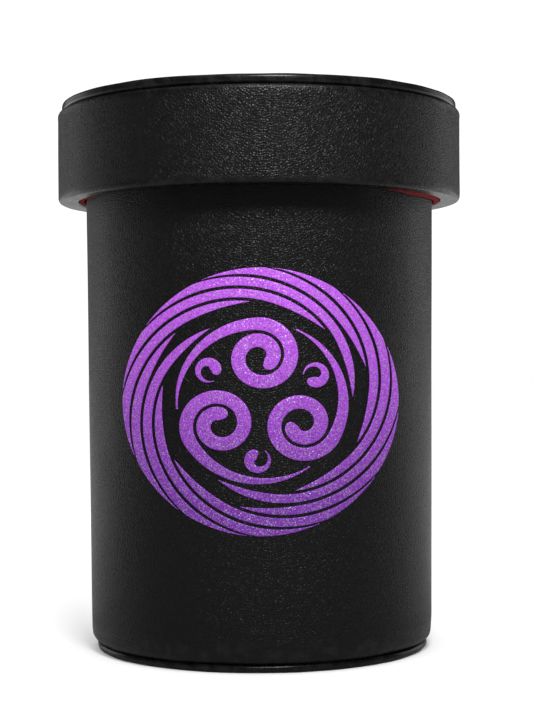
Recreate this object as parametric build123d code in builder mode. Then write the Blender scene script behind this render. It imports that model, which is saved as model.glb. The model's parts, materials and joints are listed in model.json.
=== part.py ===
from build123d import *
import math
import os

# Leather dice cup with an over-fitting lid, in millimetres.
# z = 0 is the underside of the foot, +Z is up, and the ornament faces -Y.

# ---- driving dimensions ----------------------------------------------------
CUP_RIM_RADIUS = 44.1       # outside the leather, at the rim
CUP_FOOT_RADIUS = 43.2      # outside the leather, where the foot's rounding begins
CUP_HEIGHT = 129.2          # foot to rim
LID_RADIUS = 51.0           # outside the leather of the lid's band
LID_BOTTOM = 112.3          # lower edge of the band
LID_SHOULDER = 134.8        # upper edge of the band, where the cap disc lies
LID_TOP = 137.3             # top face of the cap disc
CAP_RADIUS = 50.0           # cap disc on the lid
COVER_RADIUS = 41.9         # cover disc under the foot
COVER_HEIGHT = 1.9          # thickness of the covered foot disc

# ---- material thicknesses --------------------------------------------------
LEATHER = 0.7
LID_LEATHER = 0.8           # the band's leather is a little heavier
PADDING = 1.0
TUBE = 2.2                  # wound board tube of the cup
RING = 2.5                  # wound board ring of the lid
BOARD = 2.0                 # flat board discs
VELVET = 1.2
FLOOR_PAD = 2.0
CEILING_PAD = 1.5
FILM = 0.22                 # glitter film of the ornament
FILM_LIFT = 0.03            # adhesive under the film

# ---- turned edges and fits -------------------------------------------------
RIM_TURN_IN = 10.0          # leather turned down inside the cup
FOOT_TURN_IN = 5.2          # leather turned under the cup
BAND_TURN_IN = 8.0          # leather turned up inside the lid's band
SHOULDER_TURN_IN = 6.0      # leather turned over the top of the lid's ring
COVER_TURN_IN = 6.0         # leather turned over the inner face of a covered disc
FOOT_ROUND_HEIGHT = 3.4     # height of the sleeve's soft rounding at the foot
FOOT_ROUND_DEPTH = 0.3      # how far the sleeve pulls in before it turns under
RIM_ROUND = 1.1             # outer rounding of the rim
BAND_TOP_ROUND = 1.7        # rounding of the band's upper edge
BAND_BOTTOM_ROUND = 1.0     # rounding of the band's lower edge
DISC_SHOWN_ROUND = 1.4      # rounding of a covered disc's shown edge
DISC_HIDDEN_ROUND = 0.7     # rounding of its hidden edge
FOOT_FOLD_HEIGHT = 0.5      # from the fold under the foot to where the padding begins
FOOT_EDGE_ROUND = 2.5       # rounding where the sleeve turns under the foot
FOOT_SHOULDER_ROUND = 4.0   # rounding where the foot's pull-in begins
BAND_PADDING_TOP_ROUND = 0.9
BAND_PADDING_BOTTOM_ROUND = 0.3
LINING_EDGE_ROUND = 0.4     # rounding of the lid lining's lower edge
LINING_BELOW_RIM = 4.0      # where the velvet ends below the rim
LINING_STEP = 2.5           # height over which the lining eases across the turned edge
LID_CLEARANCE = 0.5         # lid lining to cup, on the radius
CEILING_CLEARANCE = 0.3     # lid ceiling to cup rim
LINING_ABOVE_BAND = 0.7     # where the lid's lining begins above the band's lower edge
SEAM_WIDTH = 0.45           # butt seams up the back
SEAM_DEPTH = 0.35

# ---- heights of the cup's inner layers -------------------------------------
tube_bottom = COVER_HEIGHT + LEATHER
tube_top = CUP_HEIGHT - LEATHER
base_top = tube_bottom + BOARD
pad_top = base_top + FLOOR_PAD
floor_top = pad_top + VELVET
foot_round_top = COVER_HEIGHT + FOOT_ROUND_HEIGHT
turn_in_bottom = tube_top - RIM_TURN_IN
lining_top = CUP_HEIGHT - LINING_BELOW_RIM

# ---- radii and heights of the lid's inner layers ---------------------------
lid_padding_outer = LID_RADIUS - LID_LEATHER
ring_outer = lid_padding_outer - PADDING
ring_inner = ring_outer - RING
band_inner = ring_inner - LID_LEATHER
lining_inner = CUP_RIM_RADIUS + LID_CLEARANCE
ring_bottom = LID_BOTTOM + LEATHER
ring_top = LID_SHOULDER - LEATHER
band_turn_in_top = ring_bottom + BAND_TURN_IN
top_board_bottom = ring_top - BOARD
ceiling_pad_bottom = top_board_bottom - CEILING_PAD
ceiling_bottom = CUP_HEIGHT + CEILING_CLEARANCE
lid_lining_bottom = LID_BOTTOM + LINING_ABOVE_BAND
lid_lining_upper_inner = ring_inner - VELVET

# ---- the ornament, on a roundel of radius 1 --------------------------------
ORNAMENT_HALF_WIDTH = 32.8
ORNAMENT_HALF_HEIGHT = 30.9
ORNAMENT_CENTRE_HEIGHT = 62.7
ARMS = 3                    # the ornament repeats three times round its centre
BLADES_PER_ARM = 4
BLADE_STARTS = (0.05, 0.35, 0.62, 0.86)     # where each blade of an arm begins, radians
BLADE_ROOT = 0.645          # radius where the swirl of blades begins
BLADE_TURN = math.radians(118)              # turn from the root to the rim
BLADE_GAP = 0.024
BLADE_SWELL = 0.6           # radians over which a blade reaches its full width
BLADE_TIP_GAP = 0.012
BLADE_GAP_START = 1.25      # the gap narrows from this share of itself, held at 1,
BLADE_GAP_FALL = 0.85       # by this much of its progress to a power,
BLADE_GAP_POWER = 4
BLADE_GAP_LEAST = 0.4       # down to this share at the rim
BLADE_SWELL_POWER = 0.8
TIP = 0.004                 # width of a blunt tip
SCROLL_CENTRE = 0.335
SCROLL_EYE = 0.066
SCROLL_RADIUS = 0.246
SCROLL_TURNS = 1.45
SCROLL_TAIL = math.radians(95)
SCROLL_TAIL_DRIFT = 0.012   # how far the tail moves outward
SCROLL_WIDTH = (0.051, 0.048)               # half widths at the eye and along the turn
SCROLL_TAPER = (0.42, 0.7)  # share of the length that tapers, and the taper's power
CURL_CENTRE = (0.435, math.radians(27))     # radius and angle of a small curl
CURL_RADII = (0.046, 0.088)
CURL_START = math.radians(205)
CURL_TURNS = 0.92
CURL_WIDTH = 0.040
CURL_CAP = 0.13             # share of the length that the round head takes
CURL_TAPER = (0.8, 0.8)
CAP_FLOOR = 0.003           # keeps a cap's first width above nothing, squared
TAPER_FLOOR = 0.06          # keeps a taper's last width above nothing
BLADE_STEPS = 28
SCROLL_STEPS = 36
TAIL_STEPS = 18
CURL_STEPS = 24
FILM_MARGIN = 1.0           # clearance round the ornament when it is wrapped on the cup


def sleeve_radius(z, inset=0.0):
    """Radius of the cup's gently tapered wall at height z, inset from the leather's face."""
    share = (z - foot_round_top) / (CUP_HEIGHT - foot_round_top)
    return CUP_FOOT_RADIUS + (CUP_RIM_RADIUS - CUP_FOOT_RADIUS) * share - inset


def outline(*corners):
    """Fill a closed outline of (radius, height) or (radius, height, rounding) corners."""
    roundings = [corner[2] if len(corner) > 2 else 0 for corner in corners]
    with BuildLine() as edge:
        FilletPolyline(*[corner[:2] for corner in corners], radius=roundings, close=True)
    make_face(edge.edges())


def seam_cut(foot, head):
    """Cut a shallow V up the back between two (radius, height) points of the leather's face."""
    rise = Vector(0, head[0] - foot[0], head[1] - foot[1])
    seam_plane = Plane(origin=(0, foot[0], foot[1]), x_dir=(-1, 0, 0), z_dir=rise)
    with BuildSketch(seam_plane) as notch:
        with BuildLine():
            Polyline((-SEAM_WIDTH, SEAM_DEPTH), (SEAM_WIDTH, SEAM_DEPTH), (0, -SEAM_DEPTH), close=True)
        make_face()
    extrude(notch.sketch, amount=rise.length, mode=Mode.SUBTRACT)


# ---- cup: board structure --------------------------------------------------
tube_inset = LEATHER + PADDING
bore_inset = tube_inset + TUBE

with BuildPart() as cup_wall_core:
    with BuildSketch(Plane.XZ):
        outline(
            (sleeve_radius(tube_bottom, bore_inset), tube_bottom),
            (sleeve_radius(tube_bottom, tube_inset), tube_bottom),
            (sleeve_radius(tube_top, tube_inset), tube_top),
            (sleeve_radius(tube_top, bore_inset), tube_top),
        )
    revolve(axis=Axis.Z)
cup_wall_core.part.label = "cup_wall_core"

with BuildPart() as cup_base_core:
    with BuildSketch(Plane.XZ):
        outline(
            (0, tube_bottom),
            (sleeve_radius(tube_bottom, bore_inset), tube_bottom),
            (sleeve_radius(base_top, bore_inset), base_top),
            (0, base_top),
        )
    revolve(axis=Axis.Z)
cup_base_core.part.label = "cup_base_core"

# ---- cup: padding that thins out where the foot is rounded -----------------
# The leather meets the board where its inner face, easing in, reaches the tube.
padding_foot = COVER_HEIGHT + 2 * LEATHER + FOOT_FOLD_HEIGHT

with BuildPart() as cup_wall_padding:
    with BuildSketch(Plane.XZ):
        outline(
            (sleeve_radius(padding_foot, tube_inset), padding_foot),
            (sleeve_radius(foot_round_top, LEATHER), foot_round_top),
            (sleeve_radius(tube_top, LEATHER), tube_top),
            (sleeve_radius(tube_top, tube_inset), tube_top),
        )
    revolve(axis=Axis.Z)
cup_wall_padding.part.label = "cup_wall_padding"

# ---- cup: leather sleeve, turned in at the rim and under the foot ----------
foot_edge = sleeve_radius(padding_foot, FOOT_ROUND_DEPTH)

with BuildPart() as cup_wall_leather:
    with BuildSketch(Plane.XZ):
        outline(
            (foot_edge - FOOT_TURN_IN, COVER_HEIGHT),
            (foot_edge, COVER_HEIGHT, FOOT_EDGE_ROUND),
            (sleeve_radius(foot_round_top), foot_round_top, FOOT_SHOULDER_ROUND),
            (CUP_RIM_RADIUS, CUP_HEIGHT, RIM_ROUND),
            (sleeve_radius(CUP_HEIGHT, bore_inset + LEATHER), CUP_HEIGHT, LEATHER),
            (sleeve_radius(turn_in_bottom, bore_inset + LEATHER), turn_in_bottom),
            (sleeve_radius(turn_in_bottom, bore_inset), turn_in_bottom),
            (sleeve_radius(tube_top, bore_inset), tube_top),
            (sleeve_radius(tube_top, LEATHER), tube_top),
            (sleeve_radius(foot_round_top, LEATHER), foot_round_top),
            (sleeve_radius(padding_foot, tube_inset), padding_foot),
            (sleeve_radius(tube_bottom, tube_inset), tube_bottom),
            (foot_edge - FOOT_TURN_IN, tube_bottom),
        )
    revolve(axis=Axis.Z)
    seam_cut((sleeve_radius(foot_round_top), foot_round_top), (CUP_RIM_RADIUS, CUP_HEIGHT))
cup_wall_leather.part.label = "cup_wall_leather"


def covered_disc(radius, shown, hidden):
    """A board disc, and leather over its shown face that turns over the edge of its hidden one."""
    inner = radius - LEATHER
    inward = math.copysign(LEATHER, hidden - shown)
    shown_board = shown + inward
    hidden_board = hidden - inward
    with BuildPart() as board:
        with BuildSketch(Plane.XZ):
            outline((0, shown_board), (inner, shown_board), (inner, hidden_board), (0, hidden_board))
        revolve(axis=Axis.Z)
    with BuildPart() as cover:
        with BuildSketch(Plane.XZ):
            outline(
                (0, shown),
                (radius, shown, DISC_SHOWN_ROUND),
                (radius, hidden, DISC_HIDDEN_ROUND),
                (inner - COVER_TURN_IN, hidden),
                (inner - COVER_TURN_IN, hidden_board),
                (inner, hidden_board),
                (inner, shown_board),
                (0, shown_board),
            )
        revolve(axis=Axis.Z)
    return board, cover


# ---- cup: covered disc under the foot --------------------------------------
base_cover_board, base_cover_leather = covered_disc(COVER_RADIUS, shown=0, hidden=COVER_HEIGHT)
base_cover_board.part.label = "base_cover_board"
base_cover_leather.part.label = "base_cover_leather"

# ---- cup: floor pad and velvet lining --------------------------------------
with BuildPart() as cup_floor_pad:
    with BuildSketch(Plane.XZ):
        outline(
            (0, base_top),
            (sleeve_radius(base_top, bore_inset), base_top),
            (sleeve_radius(pad_top, bore_inset), pad_top),
            (0, pad_top),
        )
    revolve(axis=Axis.Z)
cup_floor_pad.part.label = "cup_floor_pad"

lining_inset = bore_inset + VELVET
turned_inset = bore_inset + LEATHER
step_bottom = turn_in_bottom - LINING_STEP

with BuildPart() as cup_wall_velvet:
    with BuildSketch(Plane.XZ):
        outline(
            (sleeve_radius(pad_top, lining_inset), pad_top),
            (sleeve_radius(pad_top, bore_inset), pad_top),
            (sleeve_radius(turn_in_bottom, bore_inset), turn_in_bottom),
            (sleeve_radius(turn_in_bottom, turned_inset), turn_in_bottom),
            (sleeve_radius(lining_top, turned_inset), lining_top),
            (sleeve_radius(lining_top, turned_inset + VELVET), lining_top, VELVET / 2),
            (sleeve_radius(turn_in_bottom, turned_inset + VELVET), turn_in_bottom, 2 * VELVET),
            (sleeve_radius(step_bottom, lining_inset), step_bottom, 2 * VELVET),
        )
    revolve(axis=Axis.Z)
cup_wall_velvet.part.label = "cup_wall_velvet"

with BuildPart() as cup_floor_velvet:
    with BuildSketch(Plane.XZ):
        outline(
            (0, pad_top),
            (sleeve_radius(pad_top, lining_inset), pad_top),
            (sleeve_radius(floor_top, lining_inset), floor_top),
            (0, floor_top),
        )
    revolve(axis=Axis.Z)
cup_floor_velvet.part.label = "cup_floor_velvet"


# ---- cup: ornament of glitter film on the front ----------------------------
# Twelve swirling blades in three arms, three scrolls and three small curls.
# A stroke is two edges, from its start to its tip, on a roundel of radius 1.
def polar(radius, angle, centre=(0, 0)):
    return (centre[0] + radius * math.cos(angle), centre[1] + radius * math.sin(angle))


def steps(count):
    return [i / count for i in range(count + 1)]


def blade_edges(index):
    """A blade lies between one Archimedean spiral and the next, and ends at the rim."""
    pitch = 2 * math.pi / (ARMS * BLADES_PER_ARM)
    rise = (1 - BLADE_ROOT) / BLADE_TURN
    start = BLADE_STARTS[index]
    end = BLADE_TURN + pitch - BLADE_TIP_GAP / rise
    outer, inner = [], []
    for share in steps(BLADE_STEPS):
        turn = start + (end - start) * share
        progress = (turn - pitch) / BLADE_TURN
        narrowing = BLADE_GAP_START - BLADE_GAP_FALL * progress**BLADE_GAP_POWER
        gap = BLADE_GAP * min(max(narrowing, BLADE_GAP_LEAST), 1)
        swell = math.sin(math.pi / 2 * min((turn - start) / BLADE_SWELL, 1)) ** BLADE_SWELL_POWER
        edge = min(BLADE_ROOT + rise * turn, 1)
        width = edge - (BLADE_ROOT + rise * (turn - pitch) + gap)
        outer.append(polar(edge, index * pitch + turn))
        inner.append(polar(edge - max(width * swell, TIP), index * pitch + turn))
    return outer, inner


def stroke_edges(line, halves):
    """Offset a centre line to both sides by its half widths, square to its own direction."""
    left, right = [], []
    for i, (x, y) in enumerate(line):
        x0, y0 = line[max(i - 1, 0)]
        x1, y1 = line[min(i + 1, len(line) - 1)]
        run = math.hypot(x1 - x0, y1 - y0)
        normal = (-(y1 - y0) / run, (x1 - x0) / run)
        left.append((x + normal[0] * halves[i], y + normal[1] * halves[i]))
        right.append((x - normal[0] * halves[i], y - normal[1] * halves[i]))
    return left, right


def rounded_taper(distance, length, cap, taper, power):
    """Grow from nothing as a round cap does, and shrink to a tip over the last share."""
    share = min(distance / cap, 1)
    round_start = math.sqrt(max(1 - (1 - share) ** 2, CAP_FLOOR))
    return round_start * min(max((1 - distance / length) / taper, TAPER_FLOOR), 1) ** power


def scroll_edges():
    """A spiral round the scroll's own eye, carried on as an arc round the roundel's centre."""
    eye = (0, SCROLL_CENTRE)
    line = []
    for share in steps(SCROLL_STEPS):
        angle = math.pi / 2 - 2 * math.pi * SCROLL_TURNS * (1 - share)
        line.append(polar(SCROLL_EYE + (SCROLL_RADIUS - SCROLL_EYE) * share, angle, eye))
    for share in steps(TAIL_STEPS)[1:]:
        radius = SCROLL_CENTRE + SCROLL_RADIUS + SCROLL_TAIL_DRIFT * share
        line.append(polar(radius, math.pi / 2 + SCROLL_TAIL * share))
    runs = [0.0]
    for (x0, y0), (x1, y1) in zip(line, line[1:]):
        runs.append(runs[-1] + math.hypot(x1 - x0, y1 - y0))
    at_eye, along = SCROLL_WIDTH
    halves = [
        (at_eye + (along - at_eye) * run / runs[-1])
        * rounded_taper(run, runs[-1], at_eye, *SCROLL_TAPER)
        for run in runs
    ]
    return stroke_edges(line, halves)


def curl_edges():
    """A small comma: just under one turn of a spiral, from a round head to a fine tail."""
    eye = polar(*CURL_CENTRE)
    line, halves = [], []
    for share in steps(CURL_STEPS):
        angle = CURL_START + 2 * math.pi * CURL_TURNS * share
        radius = CURL_RADII[0] + (CURL_RADII[1] - CURL_RADII[0]) * share
        line.append(polar(radius, angle, eye))
        halves.append(CURL_WIDTH * rounded_taper(share, 1, CURL_CAP, *CURL_TAPER))
    return stroke_edges(line, halves)


def on_cup(point, arm):
    """Turn a point into its arm, and scale it to the ornament's size and height on the cup."""
    turn = 2 * math.pi * arm / ARMS
    x = point[0] * math.cos(turn) - point[1] * math.sin(turn)
    y = point[0] * math.sin(turn) + point[1] * math.cos(turn)
    return (ORNAMENT_HALF_WIDTH * x, ORNAMENT_CENTRE_HEIGHT + ORNAMENT_HALF_HEIGHT * y)


arm_strokes = [blade_edges(i) for i in range(BLADES_PER_ARM)] + [scroll_edges(), curl_edges()]

with BuildPart() as emblem_print:
    with BuildSketch(Plane.XZ):
        for arm in range(ARMS):
            for first_edge, second_edge in arm_strokes:
                first = [on_cup(point, arm) for point in first_edge]
                second = [on_cup(point, arm) for point in second_edge]
                with BuildLine():
                    Spline(*first)
                    Line(first[-1], second[-1])
                    Spline(*reversed(second))
                    Line(second[0], first[0])
                make_face()
    extrude(amount=CUP_RIM_RADIUS + FILM_MARGIN)
    film_bottom = ORNAMENT_CENTRE_HEIGHT - ORNAMENT_HALF_HEIGHT - FILM_MARGIN
    film_top = ORNAMENT_CENTRE_HEIGHT + ORNAMENT_HALF_HEIGHT + FILM_MARGIN
    film_outside = -FILM_LIFT - FILM
    with BuildSketch(Plane.XZ):
        outline(
            (sleeve_radius(film_bottom, -FILM_LIFT), film_bottom),
            (sleeve_radius(film_bottom, film_outside), film_bottom),
            (sleeve_radius(film_top, film_outside), film_top),
            (sleeve_radius(film_top, -FILM_LIFT), film_top),
        )
    revolve(axis=Axis.Z, mode=Mode.INTERSECT)
emblem_print.part.label = "emblem_print"

# ---- lid: board structure --------------------------------------------------
with BuildPart() as lid_wall_core:
    with BuildSketch(Plane.XZ):
        outline(
            (ring_inner, ring_bottom),
            (ring_outer, ring_bottom),
            (ring_outer, ring_top),
            (ring_inner, ring_top),
        )
    revolve(axis=Axis.Z)
lid_wall_core.part.label = "lid_wall_core"

with BuildPart() as lid_top_core:
    with BuildSketch(Plane.XY.offset(top_board_bottom)):
        Circle(ring_inner)
    extrude(amount=BOARD)
lid_top_core.part.label = "lid_top_core"

# ---- lid: padding and leather band -----------------------------------------
with BuildPart() as lid_wall_padding:
    with BuildSketch(Plane.XZ):
        outline(
            (ring_outer, ring_bottom),
            (lid_padding_outer, ring_bottom, BAND_PADDING_BOTTOM_ROUND),
            (lid_padding_outer, ring_top, BAND_PADDING_TOP_ROUND),
            (ring_outer, ring_top),
        )
    revolve(axis=Axis.Z)
lid_wall_padding.part.label = "lid_wall_padding"

with BuildPart() as lid_wall_leather:
    with BuildSketch(Plane.XZ):
        outline(
            (band_inner, LID_BOTTOM, LEATHER),
            (LID_RADIUS, LID_BOTTOM, BAND_BOTTOM_ROUND),
            (LID_RADIUS, LID_SHOULDER, BAND_TOP_ROUND),
            (LID_RADIUS - SHOULDER_TURN_IN, LID_SHOULDER),
            (LID_RADIUS - SHOULDER_TURN_IN, ring_top),
            (lid_padding_outer, ring_top, BAND_PADDING_TOP_ROUND),
            (lid_padding_outer, ring_bottom, BAND_PADDING_BOTTOM_ROUND),
            (ring_inner, ring_bottom),
            (ring_inner, band_turn_in_top),
            (band_inner, band_turn_in_top),
        )
    revolve(axis=Axis.Z)
    seam_cut((LID_RADIUS, LID_BOTTOM), (LID_RADIUS, LID_SHOULDER))
lid_wall_leather.part.label = "lid_wall_leather"

# ---- lid: covered cap disc on top ------------------------------------------
lid_cap_board, lid_cap_leather = covered_disc(CAP_RADIUS, shown=LID_TOP, hidden=LID_SHOULDER)
lid_cap_board.part.label = "lid_cap_board"
lid_cap_leather.part.label = "lid_cap_leather"

# ---- lid: ceiling pad and velvet lining ------------------------------------
with BuildPart() as lid_ceiling_pad:
    with BuildSketch(Plane.XY.offset(ceiling_pad_bottom)):
        Circle(ring_inner)
    extrude(amount=CEILING_PAD)
lid_ceiling_pad.part.label = "lid_ceiling_pad"

with BuildPart() as lid_ceiling_velvet:
    with BuildSketch(Plane.XY.offset(ceiling_bottom)):
        Circle(lid_lining_upper_inner)
    extrude(amount=ceiling_pad_bottom - ceiling_bottom)
lid_ceiling_velvet.part.label = "lid_ceiling_velvet"

with BuildPart() as lid_wall_velvet:
    with BuildSketch(Plane.XZ):
        outline(
            (lining_inner, lid_lining_bottom, LINING_EDGE_ROUND),
            (band_inner, lid_lining_bottom),
            (band_inner, band_turn_in_top),
            (ring_inner, band_turn_in_top),
            (ring_inner, ceiling_pad_bottom),
            (lid_lining_upper_inner, ceiling_pad_bottom),
            (lid_lining_upper_inner, band_turn_in_top + LINING_STEP, VELVET),
            (lining_inner, band_turn_in_top, VELVET),
        )
    revolve(axis=Axis.Z)
lid_wall_velvet.part.label = "lid_wall_velvet"

# ---- one file for each piece -----------------------------------------------
pieces = [
    cup_wall_core, cup_base_core, cup_wall_padding, cup_wall_leather, base_cover_board,
    base_cover_leather, cup_floor_pad, cup_floor_velvet, cup_wall_velvet, emblem_print,
    lid_wall_core, lid_top_core, lid_wall_padding, lid_wall_leather, lid_cap_board,
    lid_cap_leather, lid_ceiling_pad, lid_ceiling_velvet, lid_wall_velvet,
]
os.makedirs("parts", exist_ok=True)
for piece in pieces:
    export_step(piece.part, f"parts/{piece.part.label}.step")
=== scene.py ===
"""Leather dice cup: every visible piece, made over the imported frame, with its finishes and stage.

Heights and radii are in metres, z = 0 is what the cup stands on, and the ornament faces -Y.
"""

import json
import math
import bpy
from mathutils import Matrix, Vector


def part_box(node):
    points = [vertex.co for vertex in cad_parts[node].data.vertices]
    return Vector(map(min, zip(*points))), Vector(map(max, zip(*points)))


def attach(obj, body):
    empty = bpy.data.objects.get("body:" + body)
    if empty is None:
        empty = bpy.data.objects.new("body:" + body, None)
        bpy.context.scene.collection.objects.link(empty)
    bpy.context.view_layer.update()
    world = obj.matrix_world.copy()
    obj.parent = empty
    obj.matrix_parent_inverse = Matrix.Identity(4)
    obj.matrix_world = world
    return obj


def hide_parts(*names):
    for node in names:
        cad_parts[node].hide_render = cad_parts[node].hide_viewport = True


bl_info = {
    "name": "Leather dice cup",
    "version": (1, 0, 0),
    "blender": (4, 5, 0),
    "location": "View3D > Sidebar > Dice cup",
    "description": "Builds a lined leather dice cup with a lift-off lid, its finishes and its stage",
    "category": "Add Mesh",
}

import bpy
import numpy as np
from bpy.props import FloatProperty, FloatVectorProperty, IntProperty, PointerProperty

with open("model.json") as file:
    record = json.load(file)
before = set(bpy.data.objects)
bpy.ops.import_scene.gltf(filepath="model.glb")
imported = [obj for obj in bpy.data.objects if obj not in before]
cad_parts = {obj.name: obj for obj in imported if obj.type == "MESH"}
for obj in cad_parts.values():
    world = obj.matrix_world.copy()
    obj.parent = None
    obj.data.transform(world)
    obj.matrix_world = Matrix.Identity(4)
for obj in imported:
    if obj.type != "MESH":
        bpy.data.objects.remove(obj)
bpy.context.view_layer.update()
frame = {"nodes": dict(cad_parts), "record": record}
MM = 0.001
FULL_TURN = 2 * math.pi
BACK = math.pi / 2  # the seams run up the back, at +Y
ON_FACE = 1e-6  # points this close to a flat face lie on it
ARC_POINTS = 9


def heights(node):
    """Lowest and highest z of a node."""
    low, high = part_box(node)
    return float(low[2]), float(high[2])


def reach(node):
    """Outer radius of a round node."""
    low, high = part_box(node)
    return float(high[0] - low[0]) / 2


# ---------------------------------------------------------------------------
# Sizes and colours a user may change
# ---------------------------------------------------------------------------
def length(name, description, default):
    """A length in metres, shown in the scene's units."""
    return FloatProperty(
        name=name, description=description, default=default, precision=5, subtype="DISTANCE", unit="LENGTH"
    )


def colour(name, description, default):
    return FloatVectorProperty(
        name=name, description=description, default=default, size=3, min=0, max=1, subtype="COLOR"
    )


def share(name, description, default):
    return FloatProperty(name=name, description=description, default=default, min=0, max=1, subtype="FACTOR")


def power(name, description, default):
    return FloatProperty(name=name, description=description, default=default, min=0, unit="POWER")


class CupSettings(bpy.types.PropertyGroup):
    rim_radius: length("Rim radius", "Outside of the leather at the rim", 44.1 * MM)
    foot_radius: length("Foot radius", "Outside of the leather above the rounded foot", 43.2 * MM)
    leather: length("Leather", "Thickness of the sleeve's leather", 0.7 * MM)
    padding: length("Padding", "Foam between leather and board", 1.0 * MM)
    tube: length("Tube", "Wall of the board tube", 2.2 * MM)
    velvet: length("Velvet", "Thickness of the lining", 1.2 * MM)
    foot_turn_in: length("Foot turn-in", "Leather turned under the cup", 5.2 * MM)
    foot_pull_in: length("Foot pull-in", "How far the sleeve pulls in before it turns under", 0.3 * MM)
    foot_round_height: length("Foot rounding height", "Where the pull-in begins", 3.4 * MM)
    foot_edge_round: length("Foot edge rounding", "Rounding where the sleeve turns under", 2.5 * MM)
    foot_shoulder_round: length("Foot shoulder rounding", "Rounding where the pull-in begins", 4.0 * MM)
    foot_fold: length("Foot fold", "From the fold under the foot to where the padding begins", 0.5 * MM)
    rim_round: length("Rim rounding", "Outer rounding of the rim", 1.1 * MM)
    rim_turn_in: length("Rim turn-in", "Leather turned over the rim and down inside", 10 * MM)
    lining_step: length("Lining step", "Height of the lining's ease over the turned edge", 2.5 * MM)


class LidSettings(bpy.types.PropertyGroup):
    leather: length("Leather", "Thickness of the band's leather", 0.8 * MM)
    turned: length("Turned leather", "Thickness of the turned edges", 0.7 * MM)
    padding: length("Padding", "Foam between leather and board", 1.0 * MM)
    ring: length("Ring", "Wall of the board ring", 2.5 * MM)
    velvet: length("Velvet", "Thickness of the lining", 1.2 * MM)
    lining_radius: length("Lining radius", "Inside of the velvet at the lower edge", 44.6 * MM)
    band_turn_in: length("Band turn-in", "Leather turned up inside the band", 8.0 * MM)
    shoulder_turn_in: length("Shoulder turn-in", "Leather turned over the ring's top", 6.0 * MM)
    top_round: length("Top rounding", "Rounding of the band's upper edge", 1.1 * MM)
    bottom_round: length("Bottom rounding", "Rounding of the band's lower edge", 1.0 * MM)
    pad_top_round: length("Padding's top rounding", "Rounding of the padding's upper edge", 0.9 * MM)
    pad_bottom_round: length("Padding's bottom rounding", "Rounding of its lower edge", 0.3 * MM)


class DiscSettings(bpy.types.PropertyGroup):
    leather: length("Leather", "Thickness of the leather wrapped round a disc", 0.7 * MM)
    turn_in: length("Turn-in", "Leather turned over a disc's hidden face", 6.0 * MM)
    shown_round: length("Shown rounding", "Rounding of a disc's shown edge", 0.95 * MM)
    hidden_share: share("Hidden share", "Share of a disc's height in the rounding of its hidden edge", 0.48)


class HandSettings(bpy.types.PropertyGroup):
    """How unevenly the pieces were covered by hand."""

    seed: IntProperty(name="Seed", description="Changes every small unevenness", default=7, min=0)
    wave: length("Wave", "Slow unevenness of the covered walls", 0.07 * MM)
    edge_wave: length("Edge wave", "Unevenness of turned edges", 0.16 * MM)
    seam_width: length("Seam width", "Width of the groove between two butted edges", 0.42 * MM)
    seam_depth: length("Seam depth", "Depth of that groove", 0.36 * MM)
    pleat_depth: length("Pleat depth", "Depth of the gathers on a turned edge", 0.16 * MM)
    pile: length("Pile", "Unevenness of the velvet's pile", 0.11 * MM)
    sag: length("Sag", "How far the lid's lining hangs at the right, where it was cut low", 1.3 * MM)
    sag_left: length("Sag, left", "How far the lid's lining hangs at the left", 0.7 * MM)


class OrnamentSettings(bpy.types.PropertyGroup):
    half_width: length("Half width", "Half the ornament's width, seen from the front", 32.8 * MM)
    half_height: length("Half height", "Half the ornament's height", 30.9 * MM)
    centre_height: length("Centre height", "Height of the ornament's centre", 62.7 * MM)
    film: length("Film", "Thickness of the glitter film", 0.2 * MM)
    lift: length("Lift", "Adhesive under the film", 0.03 * MM)
    # Painted light and shade: the film is lighter at the top and darker at the foot, a fall-off of the light
    # from above painted into its colour.
    colour_top_painted_light: colour("Colour, top", "Colour of the glitter film at the top", (0.63, 0.105, 1.0))
    colour_foot_painted_shade: colour("Colour, foot", "Colour of the glitter film at the foot", (0.22, 0.026, 0.46))
    flake: length("Flake", "Size of a glitter flake", 0.22 * MM)


class FinishSettings(bpy.types.PropertyGroup):
    leather: colour("Leather", "Colour of the leather", (0.0048, 0.0048, 0.0052))
    leather_worn: colour("Worn leather", "Colour where an edge is rubbed", (0.016, 0.0155, 0.016))
    grain_pitch: length("Grain pitch", "Distance between two pebbles of the grain", 0.57 * MM)
    grain_depth: length("Grain depth", "Height of a pebble above its crease", 0.11 * MM)
    leather_roughness: share("Leather roughness", "Roughness on top of the pebbles", 0.325)
    # Painted sheen and shade: the velvet is coloured between these two, brighter along brushed patches and
    # fibres, deeper between the fibres.
    velvet: colour("Velvet", "Colour of the pile seen along its fibres", (0.40, 0.004, 0.011))
    velvet_painted_shade: colour("Velvet, deep", "Colour between the fibres", (0.13, 0.0015, 0.004))
    lint: colour("Lint", "Colour of the specks of dust on the leather", (0.09, 0.09, 0.095))
    board: colour("Board", "Colour of the grey board", (0.36, 0.31, 0.25))
    foam: colour("Foam", "Colour of the foam padding", (0.62, 0.60, 0.55))


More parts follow.
